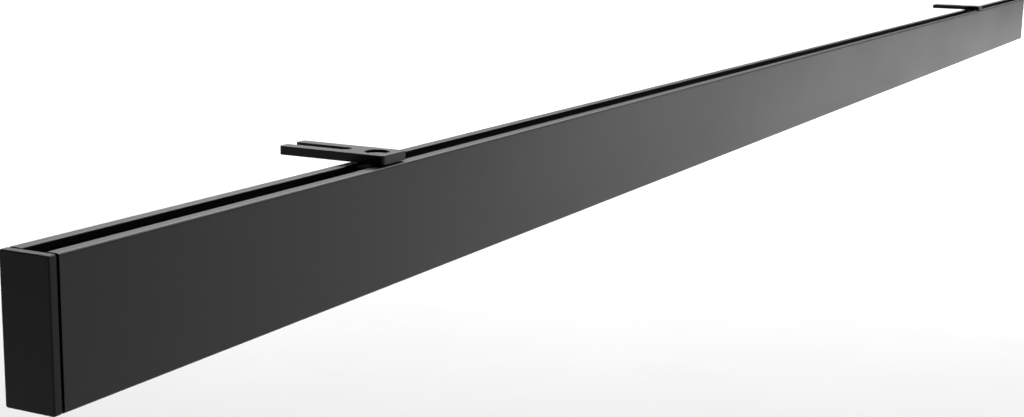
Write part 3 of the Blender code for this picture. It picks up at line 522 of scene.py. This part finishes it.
# ---------------------------------------------------------------- body
def make_profile():
    """The extrusion, with a centring groove in the T-slot's floor."""
    outer = rounded(mirrored([
        (SLOT_GUIDE_HALF, SLOT_FLOOR, 0.0),
        (CAVITY_HALF, SLOT_FLOOR, INNER_RADIUS),
        (CAVITY_HALF, LIP_UNDERSIDE, INNER_RADIUS / 2),
        (MOUTH_HALF, LIP_UNDERSIDE, INNER_RADIUS / 2),
        (MOUTH_HALF, BODY_HEIGHT, INNER_RADIUS),
        (BODY_HALF, BODY_HEIGHT, EDGE_RADIUS),
        (BODY_HALF, 0.0, EDGE_RADIUS),
        (LEG_INNER, 0.0, 0.0),
        (LEG_INNER, FLANGE_BOTTOM, 0.0),
        (FLANGE_HALF, FLANGE_BOTTOM, 0.0),
        (FLANGE_HALF, FLANGE_TOP, 0.0),
        (CHAMBER_HALF, FLANGE_TOP, 0.0),
        (CHAMBER_HALF, LED_CHAMBER_TOP, INNER_RADIUS),
    ]))
    groove = Vector((0.0, SLOT_FLOOR - SLOT_GUIDE_HALF))
    inner = rounded(mirrored([
        (CHAMBER_HALF, TUBE_TOP, INNER_RADIUS),
        (CHAMBER_HALF, GROOVE_TOP, 0.0),
        (GROOVE_HALF, GROOVE_TOP, 0.0),
        (GROOVE_HALF, GROOVE_BOTTOM, 0.0),
        (CHAMBER_HALF, GROOVE_BOTTOM, 0.0),
        (CHAMBER_HALF, TUBE_BOTTOM, INNER_RADIUS),
    ]))
    shape = bmesh.new()
    add_prism(shape, [outer + [groove], inner], BODY_LOW.x, BODY_HIGH.x)
    piece("profile", shape, [body_paint], "batten", "body_paint", "extrusion")


def make_cap(side, name):
    """An end cap: a plate with softly rounded edges and a hollow plug behind it."""
    low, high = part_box(name)
    outer, plug_end = (low.x, high.x) if side < 0 else (high.x, low.x)
    inner = outer - side * CAP_THICKNESS

    def on_rim(vert):
        """Whether it lies on the outer face's rim, and not on the inlet's bore."""
        near_side = abs(vert.co.y) > BODY_HALF - 2 * MM
        near_end = abs(vert.co.z - INLET_Z) > 20 * MM
        return abs(vert.co.x - outer) < FIT and (side < 0 or near_side or near_end)

    shape = bmesh.new()
    plate = rectangle(BODY_HALF, 0.0, BODY_HEIGHT, EDGE_RADIUS)
    bore = [point + Vector((0.0, INLET_Z)) for point in circle(CAP_BORE_RADIUS)]
    holes = [] if side < 0 else [bore]
    add_prism(shape, [plate, *holes], min(outer, inner), max(outer, inner))
    round_edges(shape, CAP_EDGE, 5, lambda edge: all(on_rim(vert) for vert in edge.verts))
    half = CHAMBER_HALF - PLUG_SLIP
    bottom, top = TUBE_BOTTOM + PLUG_SLIP, TUBE_TOP - PLUG_SLIP
    plug = rectangle(half, bottom, top, INNER_RADIUS)
    hollow = rectangle(half - PLUG_WALL, bottom + PLUG_WALL, top - PLUG_WALL, INNER_RADIUS)
    root = inner + side * PLUG_ROOT
    add_prism(shape, [plug, hollow], min(root, plug_end), max(root, plug_end))
    piece(name + "_shell", shape, [cap_paint], "batten", "cap_paint", name)


def make_gasket(name):
    low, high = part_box(name)
    shape = bmesh.new()
    outline = rectangle(high.y, low.z, high.z, INNER_RADIUS)
    opening = rectangle(CHAMBER_HALF, TUBE_BOTTOM, TUBE_TOP, INNER_RADIUS)
    add_prism(shape, [outline, opening], low.x, high.x)
    round_edges(shape, 0.12 * MM, 3)
    piece(name + "_seal", shape, [gasket_rubber], "batten", "rubber", name)


def make_window():
    """The opal window with the flanged ribs that hold it in its grooves."""
    low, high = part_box("diffuser")
    slip = 0.2 * MM
    shape = bmesh.new()
    section = rounded(mirrored([
        (WINDOW_RIB_INNER, WINDOW_THICKNESS, INNER_RADIUS),
        (WINDOW_RIB_INNER, high.z, 0.0),
        (high.y, high.z, 0.0),
        (high.y, FLANGE_BOTTOM + slip, 0.0),
        (LEG_INNER - slip, FLANGE_BOTTOM + slip, 0.0),
        (LEG_INNER - slip, 0.0, INNER_RADIUS / 2),
    ]))
    add_prism(shape, [section], low.x, high.x)
    piece("opal_window", shape, [opal_acrylic], "batten", "opal", "diffuser")


# ---------------------------------------------------------------- brackets
def plate_outline(axis_x, front, back, half):
    """The bracket plate from above: square at the front, an open fork at the back."""
    corners = [
        (half, front, PLATE_CORNER),
        (half, back, PLATE_CORNER),
        (FORK_HALF, back, FORK_TIP_RADIUS),
        (FORK_HALF, FORK_START + FORK_HALF, 0.0),
        (0.0, front, 0.0),
    ]
    right = rounded(corners)[:-1]
    centre = Vector((0.0, FORK_START + FORK_HALF))
    steps = 3 * ARC_STEPS
    bend = []
    for step in range(1, steps):
        angle = -math.pi * step / steps
        bend.append(centre + FORK_HALF * Vector((math.cos(angle), math.sin(angle))))
    left = [Vector((-point.x, point.y)) for point in reversed(right)]
    return [point + Vector((axis_x, 0.0)) for point in right + bend + left]


def make_plate(side):
    """A bracket plate with a counterbored hole and rolled punched edges."""
    node = side + "_bracket_plate"
    low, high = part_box(node)
    axis_x = (low.x + high.x) / 2
    outline = plate_outline(axis_x, low.y, high.y, (high.x - low.x) / 2)
    seat = high.z - COUNTERBORE_DEPTH
    wall = [
        (COUNTERBORE_RADIUS + HOLE_EDGE, high.z),
        (COUNTERBORE_RADIUS, high.z - HOLE_EDGE),
        (COUNTERBORE_RADIUS, seat),
        (HOLE_RADIUS, seat),
        (HOLE_RADIUS, low.z + HOLE_EDGE),
        (HOLE_RADIUS + HOLE_EDGE, low.z),
    ]
    shape = bmesh.new()
    hole_of = {}
    for radius, height in (wall[0], wall[-1]):
        hole_of[height] = [point + Vector((axis_x, 0.0)) for point in circle(radius)]
    rings = [fill(shape, [outline, hole_of[z]], z, upright, 0)[0] for z in (low.z, high.z)]
    bridge(shape, rings[0], rings[1], 0)
    add_turned(shape, wall, moved(upright, (axis_x, 0.0, 0.0)))
    round_edges(shape, PLATE_EDGE, 4, outside(axis_x, COUNTERBORE_RADIUS + 2 * HOLE_EDGE))
    piece(side + "_bracket_arm", shape, [bracket_paint], side + "_bracket", "bracket_paint", node)


def make_screw(side):
    """A low-head screw with a chamfered hexagonal socket and a rolled thread."""
    node = side + "_clamp_screw"
    low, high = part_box(node)
    centre = (low + high) / 2
    top, tip = high.z, low.z
    neck = top - SCREW_HEAD_HEIGHT
    place = moved(upright, (centre.x, 0.0, 0.0))
    socket_floor = top - SOCKET_DEPTH
    edge = 0.2 * MM
    shape = bmesh.new()
    add_turned(shape, [
        (0.0, socket_floor - 0.5 * MM),
        (SOCKET_RADIUS, socket_floor, 6),
        (SOCKET_RADIUS, top - edge, 6),
        (SOCKET_RADIUS + edge, top),
        (SCREW_HEAD_RADIUS - SCREW_HEAD_EDGE, top),
        (SCREW_HEAD_RADIUS - 0.3 * SCREW_HEAD_EDGE, top - 0.3 * SCREW_HEAD_EDGE),
        (SCREW_HEAD_RADIUS, top - SCREW_HEAD_EDGE),
        (SCREW_HEAD_RADIUS, neck),
        (SCREW_CREST, neck),
        (SCREW_CREST, neck - edge),
        (SCREW_ROOT, neck - 3 * edge),
    ], place)
    thread_end = tip + 0.6 * MM
    add_thread(shape, SCREW_ROOT, SCREW_CREST, thread_end, neck - 3 * edge, SCREW_PITCH, place)
    add_turned(shape, [(SCREW_ROOT, thread_end), (SCREW_ROOT - 0.6 * MM, tip), (0.0, tip)], place)
    piece(side + "_screw", shape, [black_oxide], side + "_clamp", "screw_steel", node)


def make_t_nut(side):
    """A milled T-nut with a threaded hole and chamfered edges."""
    low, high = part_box(side + "_t_nut")
    axis_x = (low.x + high.x) / 2
    shoulder = LIP_UNDERSIDE - 0.4 * MM
    neck, bore = T_NUT_NECK_HALF, T_NUT_BORE_RADIUS
    right = [(neck, high.z), (neck, shoulder), (high.y, shoulder), (high.y, low.z)]
    left = [(-y, z) for y, z in reversed(right)]
    shape = bmesh.new()
    for depth in (low.x, high.x):
        fill(shape, [right + left], depth, along_x, 0)
    ring = [point + Vector((axis_x, 0.0)) for point in circle(bore + HOLE_EDGE)]
    for z, half in ((high.z, neck), (low.z, high.y)):
        face = ((low.x, -half), (high.x, -half), (high.x, half), (low.x, half))
        fill(shape, [face, ring], z, upright, 0)
    for first, second in zip(right, right[1:]):
        for sign in (-1, 1):
            corners = [(low.x, first), (high.x, first), (high.x, second), (low.x, second)]
            shape.faces.new([shape.verts.new((x, sign * y, z)) for x, (y, z) in corners])
    add_turned(shape, [
        (bore + HOLE_EDGE, high.z),
        (bore, high.z - HOLE_EDGE),
        (bore, low.z + HOLE_EDGE),
        (bore + HOLE_EDGE, low.z),
    ], moved(upright, (axis_x, 0.0, 0.0)))
    round_edges(shape, T_NUT_EDGE, 3, outside(axis_x, bore + 2 * HOLE_EDGE))
    piece(side + "_slot_nut", shape, [zinc], side + "_clamp", "zinc", side + "_t_nut")


# ---------------------------------------------------------------- inlet
def make_inlet():
    """Nickel shell with a threaded nose, its insulator with a keyway, its pins and its seal."""
    low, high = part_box("inlet_shell")
    place = moved(along_x, (INLET_X, 0.0, INLET_Z))
    flange_low, flange_high = FIT, FIT + 2.4 * MM
    nose_top = high.x - INLET_X
    rear = low.x - INLET_X
    shank, bore = 5.6 * MM, 4.6 * MM
    seal_middle, seal_half = 6.8 * MM, 0.6 * MM
    seal_outer, seal_inner = seal_middle + seal_half + FIT, seal_middle - seal_half - FIT
    seal_top = flange_low + 2 * seal_half + FIT
    edge = 0.4 * MM
    thread_low, thread_high = flange_high + 1.2 * MM, nose_top - edge
    shape = bmesh.new()
    add_turned(shape, [
        (NOSE_ROOT, thread_high),
        (NOSE_ROOT - edge / 2, nose_top),
        (NOSE_BORE + edge / 2, nose_top),
        (NOSE_BORE, nose_top - edge / 2),
        (NOSE_BORE, 2.4 * MM),
        (bore, 2.4 * MM),
        (bore, rear),
        (shank - edge / 2, rear),
        (shank, rear + edge / 2),
        (shank, flange_low),
        (seal_inner, flange_low),
        (seal_inner, seal_top),
        (seal_outer, seal_top),
        (seal_outer, flange_low),
        (FLANGE_RADIUS, flange_low, 6),
        (FLANGE_RADIUS, flange_high - edge / 2, 6),
        (FLANGE_RADIUS * 0.93, flange_high),
        (NOSE_ROOT, flange_high),
        (NOSE_ROOT, thread_low),
    ], place)
    add_thread(shape, NOSE_ROOT, NOSE_CREST, thread_low, thread_high, 1.0 * MM, place)
    piece("inlet_body", shape, [nickel], "batten", "nickel", "inlet_shell")

    seal_profile = []
    for step in range(25):
        turn = 2 * math.pi * step / 24
        radius = seal_middle + seal_half * math.cos(turn)
        seal_profile.append((radius, flange_low + seal_half + seal_half * math.sin(turn)))
    shape = bmesh.new()
    add_turned(shape, seal_profile, place)
    piece("inlet_o_ring", shape, [seal_rubber], "batten", "rubber", "inlet_seal")

    low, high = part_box("inlet_insulator")
    radius = bore - FIT
    key_half, key_depth = 0.6 * MM, 0.8 * MM
    key_angle = math.asin(key_half / radius)
    outline = []
    for step in range(STEPS + 1):
        turn = key_angle + (2 * math.pi - 2 * key_angle) * step / STEPS
        outline.append(Vector((radius * math.cos(turn), radius * math.sin(turn))))
    outline += [Vector((radius - key_depth, -key_half)), Vector((radius - key_depth, key_half))]
    pins = {name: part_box(name) for name in (f"inlet_pin_{number}" for number in range(1, 5))}
    holes = []
    for pin_low, pin_high in pins.values():
        centre = (pin_low + pin_high) / 2 - Vector((0.0, 0.0, INLET_Z))
        holes.append([point + Vector((centre.y, centre.z)) for point in circle(0.65 * MM, 24)])
    shape = bmesh.new()
    add_prism(shape, [outline, *holes], low.x, high.x, moved(along_x, (0.0, 0.0, INLET_Z)))
    piece("inlet_insert", shape, [black_nylon], "batten", "connector_black", "inlet_insulator")

    for name, (pin_low, pin_high) in pins.items():
        centre = (pin_low + pin_high) / 2
        pin_radius = (pin_high.y - pin_low.y) / 2
        tip = [
            (pin_radius * math.sin(turn), pin_high.x - pin_radius + pin_radius * math.cos(turn))
            for turn in (math.pi / 2 * step / 8 for step in range(9))
        ]
        shape = bmesh.new()
        add_turned(
            shape, [(0.0, tip[0][1]), *tip[1:], (pin_radius, pin_low.x), (0.0, pin_low.x)],
            moved(along_x, (0.0, centre.y, centre.z)), steps=24,
        )
        piece(name + "_contact", shape, [gold], "batten", "gold", name)


# ---------------------------------------------------------------- circuit boards
def add_led(shape, centre_x, top):
    """A four-colour LED package: housing, filled well and six soldered feet."""
    half, height, rim, well = 2.5 * MM, 1.6 * MM, 0.6 * MM, 0.35 * MM
    bottom = top - height
    body = rectangle(half, -half, half, 0.3 * MM)
    cup = circle(half - rim, len(body))
    start = max(range(len(cup)), key=lambda index: cup[index].dot(Vector((1.0, 1.0))))
    cup = [cup[(start - index) % len(cup)] for index in range(len(cup))]
    place = moved(upright, (centre_x, 0.0, 0.0))
    rings = fill(shape, [body], top, place, 1)
    for ring, depth in ((body, bottom), (cup, bottom), (cup, bottom + well)):
        rings.append([shape.verts.new(place(point.x, point.y, depth)) for point in ring])
    for first, second in zip(rings, rings[1:]):
        bridge(shape, first, second, 1)
    shape.faces.new(rings[-1]).material_index = 2
    for side in (-1, 1):
        foot = centre_x + side * half
        for offset in (-1.6 * MM, 0.0, 1.6 * MM):
            add_box(
                shape, (foot - 0.15 * MM, offset - 0.45 * MM, top - 0.45 * MM),
                (foot + 0.35 * MM, offset + 0.45 * MM, top), 0.05 * MM, 3, 1,
            )


def make_led_board(number):
    """A board with a package every pitch and two small resistors beside each."""
    node = f"led_board_{number}"
    low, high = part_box(node)
    thickness, pitch = 1.6 * MM, 50.0 * MM
    board_low = high.z - thickness
    shape = bmesh.new()
    add_box(shape, (low.x, low.y, board_low), (high.x, high.y, high.z), 0.1 * MM, 0, 1)
    centre = math.ceil((low.x - pitch / 2) / pitch) * pitch + pitch / 2
    while centre < high.x:
        add_led(shape, centre, board_low)
        for side in (-1, 1):
            x, y = centre + 14.0 * MM, side * 4.5 * MM
            add_box(
                shape, (x, y - 0.6 * MM, board_low - 0.5 * MM),
                (x + 2.0 * MM, y + 0.6 * MM, board_low), 0.08 * MM, 4, 1,
            )
        centre += pitch
    materials = [white_mask, led_housing, led_fill, tin, chip_epoxy]
    piece(f"light_engine_{number}", shape, materials, "batten", "led_board", node)


def add_gull_wing(shape, inner, outward, across, width, base, top, slot):
    """One bent lead, from the chip's side down to the board."""
    thickness = 0.15 * MM
    run = outward.length
    outline = [
        (0.0, top), (run * 0.45, top), (run * 0.6, base + thickness), (run, base + thickness),
        (run, base), (run * 0.5, base), (run * 0.35, top - thickness), (0.0, top - thickness),
    ]
    direction = outward.normalized()

    def place(u, v, w):
        flat = inner + direction * u + across * w
        return Vector((flat.x, flat.y, v))

    add_prism(shape, [outline], -width / 2, width / 2, place, slot)


def make_chip(node, name, leads, slot_name, material=chip_epoxy, edge=0.2 * MM):
    """A chip case with leads on its sides. leads is {side: count}, a side being x or y."""
    low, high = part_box(node)
    inset = {axis: 0.9 * MM if axis in leads else 0.0 for axis in "xy"}
    case_low = Vector((low.x + inset["x"], low.y + inset["y"], low.z + 0.1 * MM))
    case_high = Vector((high.x - inset["x"], high.y - inset["y"], high.z))
    shape = bmesh.new()
    add_box(shape, case_low, case_high, edge)
    middle = (low.z + high.z) / 2
    for axis, count in leads.items():
        along = "y" if axis == "x" else "x"
        length = getattr(case_high, along) - getattr(case_low, along)
        width = min(0.5 * length / count, 1.2 * MM)
        for sign, face in ((-1, case_low), (1, case_high)):
            out = Vector((sign, 0.0)) if axis == "x" else Vector((0.0, sign))
            across = Vector((-out.y, out.x))
            for index in range(count):
                spot = getattr(case_low, along) + length * (index + 0.5) / count
                point = (getattr(face, axis), spot)
                root = Vector(point if axis == "x" else point[::-1]) - out * 0.05 * MM
                add_gull_wing(shape, root, out * 0.95 * MM, across, width, low.z, middle, 1)
    piece(name, shape, [material, tin], "batten", slot_name, node)


def arc_points(centre_r, centre_h, radius):
    """A quarter round from the top of a turned piece to its side."""
    turns = [math.pi / 2 * step / 6 for step in range(7)]
    return [
        (centre_r + radius * math.sin(turn), centre_h + radius * math.cos(turn)) for turn in turns
    ]


def make_control_parts():
    """The chips, terminals and capacitors on the control board."""
    chips = {
        "microcontroller": ("microcontroller_chip", {"x": 11, "y": 11}),
        "data_transceiver": ("transceiver_chip", {"y": 4}),
        "voltage_regulator": ("regulator_chip", {"y": 3}),
    }
    for number in range(1, 5):
        chips[f"led_driver_{number}"] = (f"driver_chip_{number}", {"y": 2})
    for node, (name, leads) in chips.items():
        make_chip(node, name, leads, "chip_case")
    make_chip("inductor", "power_inductor", {"x": 1}, "inductor_case", ferrite, 1.2 * MM)
    make_chip("fuse", "ceramic_fuse", {"x": 1}, "fuse_ceramic", ceramic, 0.6 * MM)

    for node, contacts, facing in (("input_terminal", 4, 1), ("output_terminal", 5, -1)):
        low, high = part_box(node)
        outer = high.z if facing > 0 else low.z
        inner = outer - facing * 0.2 * MM
        pitch = (high.y - low.y) / (contacts + 0.4)
        shape = bmesh.new()
        add_box(shape, low, high, 0.3 * MM)
        for index in range(contacts):
            centre = (low.y + high.y) / 2 + (index - (contacts - 1) / 2) * pitch
            add_box(
                shape, (low.x + 2.0 * MM, centre - pitch * 0.3, min(inner, outer)),
                (high.x - 3.0 * MM, centre + pitch * 0.3, max(inner, outer)), 0.0, 1,
            )
        piece(node + "_block", shape, [natural_nylon, tin], "batten", "nylon", node)

    for node in ("input_capacitor", "output_capacitor"):
        low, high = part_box(node)
        centre, radius = (low + high) / 2, (high.z - low.z) / 2
        length, crimp, neck = high.x - low.x, 0.5 * MM, 3.0 * MM
        dish, recess = length - 0.15 * MM, 0.3 * MM
        waist = []
        for step in range(9):
            pinched = radius - crimp * math.sin(math.pi * step / 8)
            waist.append((pinched, neck + crimp - 2 * crimp * step / 8))
        profile = [
            (0.0, dish),
            (radius * 0.82, dish),
            (radius * 0.86, length),
            *arc_points(radius - crimp, length - crimp, crimp),
            *waist,
            (radius, crimp),
            (radius - crimp, 0.0),
            (radius * 0.8, 0.0),
            (radius * 0.76, recess),
            (0.0, recess),
        ]
        shape = bmesh.new()
        add_turned(shape, profile, moved(along_x, (low.x, centre.y, centre.z)))
        piece(node + "_can", shape, [sleeve], "batten", "capacitor_sleeve", node)


# ---------------------------------------------------------------- studio
def make_floor():
    """A plain pale floor, well below the bar, which hangs in use."""
    mesh = bpy.data.meshes.new("studio_floor")
    level = cad_low.z - FLOOR_DROP
    signs = ((-1, -1), (1, -1), (1, 1), (-1, 1))
    corners = [(x * FLOOR_REACH, y * FLOOR_REACH, level) for x, y in signs]
    mesh.from_pydata(corners, [], [(0, 1, 2, 3)])
    made = Finish("studio_paper", 0.9, specular=0.05)
    drift = made.spread(made.noise(400.0 * MM), 0.0, 1.0)
    made.colour(made.mix(drift, (0.90, 0.90, 0.90), (0.92, 0.92, 0.92)))
    mesh.materials.append(made.material)
    floor = bpy.data.objects.new("studio_floor", mesh)
    bpy.context.scene.collection.objects.link(floor)


def make_light():
    """A soft sky that is brightest low down behind the bar, and two very large softboxes."""
    world = bpy.data.worlds.new("studio")
    bpy.context.scene.world = world
    world.use_nodes = True
    tree = world.node_tree
    background = tree.nodes["Background"]
    direction = tree.nodes.new("ShaderNodeTexCoord")
    toward = tree.nodes.new("ShaderNodeVectorMath")
    toward.operation = "DOT_PRODUCT"
    toward.inputs[1].default_value = Vector(SKY_TOWARD).normalized()
    tree.links.new(direction.outputs["Generated"], toward.inputs[0])
    level = tree.nodes.new("ShaderNodeMapRange")
    level.interpolation_type = "SMOOTHSTEP"
    level.inputs["From Min"].default_value = SKY_FROM
    level.inputs["From Max"].default_value = SKY_TO
    level.inputs["To Min"].default_value = SKY_DARK
    level.inputs["To Max"].default_value = SKY_BRIGHT
    tree.links.new(toward.outputs["Value"], level.inputs["Value"])
    tree.links.new(level.outputs["Result"], background.inputs["Strength"])

    for name, (place, side, watts) in SOFTBOXES.items():
        lamp = bpy.data.lights.new(name, "AREA")
        lamp.shape, lamp.size, lamp.energy = "SQUARE", side, watts
        softbox = bpy.data.objects.new(name, lamp)
        softbox.location = place
        bpy.context.scene.collection.objects.link(softbox)
    bpy.context.scene.view_settings.view_transform = "Standard"


def make_camera():
    """Low, close to the near end, and looking along the front face."""
    near_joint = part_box("near_end_cap")[0].x + CAP_THICKNESS + CAP_JOINT / 2
    lens = bpy.data.cameras.new("photo_camera")
    lens.lens, lens.sensor_width = CAMERA_LENS, CAMERA_SENSOR
    lens.clip_start, lens.clip_end = 0.01, 200.0
    camera = bpy.data.objects.new("photo_camera", lens)
    camera.location = (
        near_joint - CAMERA_AWAY * BODY_HEIGHT,
        -BODY_HALF - CAMERA_LEFT * BODY_HEIGHT,
        CAMERA_UP * BODY_HEIGHT,
    )
    heading, pitch = math.radians(CAMERA_HEADING), math.radians(CAMERA_PITCH)
    forward = Vector((
        math.cos(pitch) * math.cos(heading), math.cos(pitch) * math.sin(heading), math.sin(pitch),
    ))
    camera.rotation_mode = "QUATERNION"
    roll = Quaternion((0.0, 0.0, 1.0), math.radians(CAMERA_ROLL))
    camera.rotation_quaternion = forward.to_track_quat("-Z", "Y") @ roll
    bpy.context.scene.collection.objects.link(camera)
    bpy.context.scene.camera = camera


# ---------------------------------------------------------------- the whole
make_camera()
make_light()
make_floor()
make_profile()
make_cap(-1, "near_end_cap")
make_cap(1, "far_end_cap")
make_gasket("near_cap_gasket")
make_gasket("far_cap_gasket")
make_window()
for side_name in ("near", "far"):
    make_plate(side_name)
    make_screw(side_name)
    make_t_nut(side_name)
make_inlet()
for board in range(1, 5):
    make_led_board(board)
    dress(f"thermal_tape_{board}", tape_film)
for link_number in range(1, 4):
    dress(f"board_link_{link_number}", natural_nylon)
make_control_parts()
dress("control_board", green_mask)
for lead, lead_colour in LEAD_COLOURS.items():
    dress(lead, moulded(lead + "_pvc", lead_colour, 0.42, 0.8 * MM, 0.006 * MM))
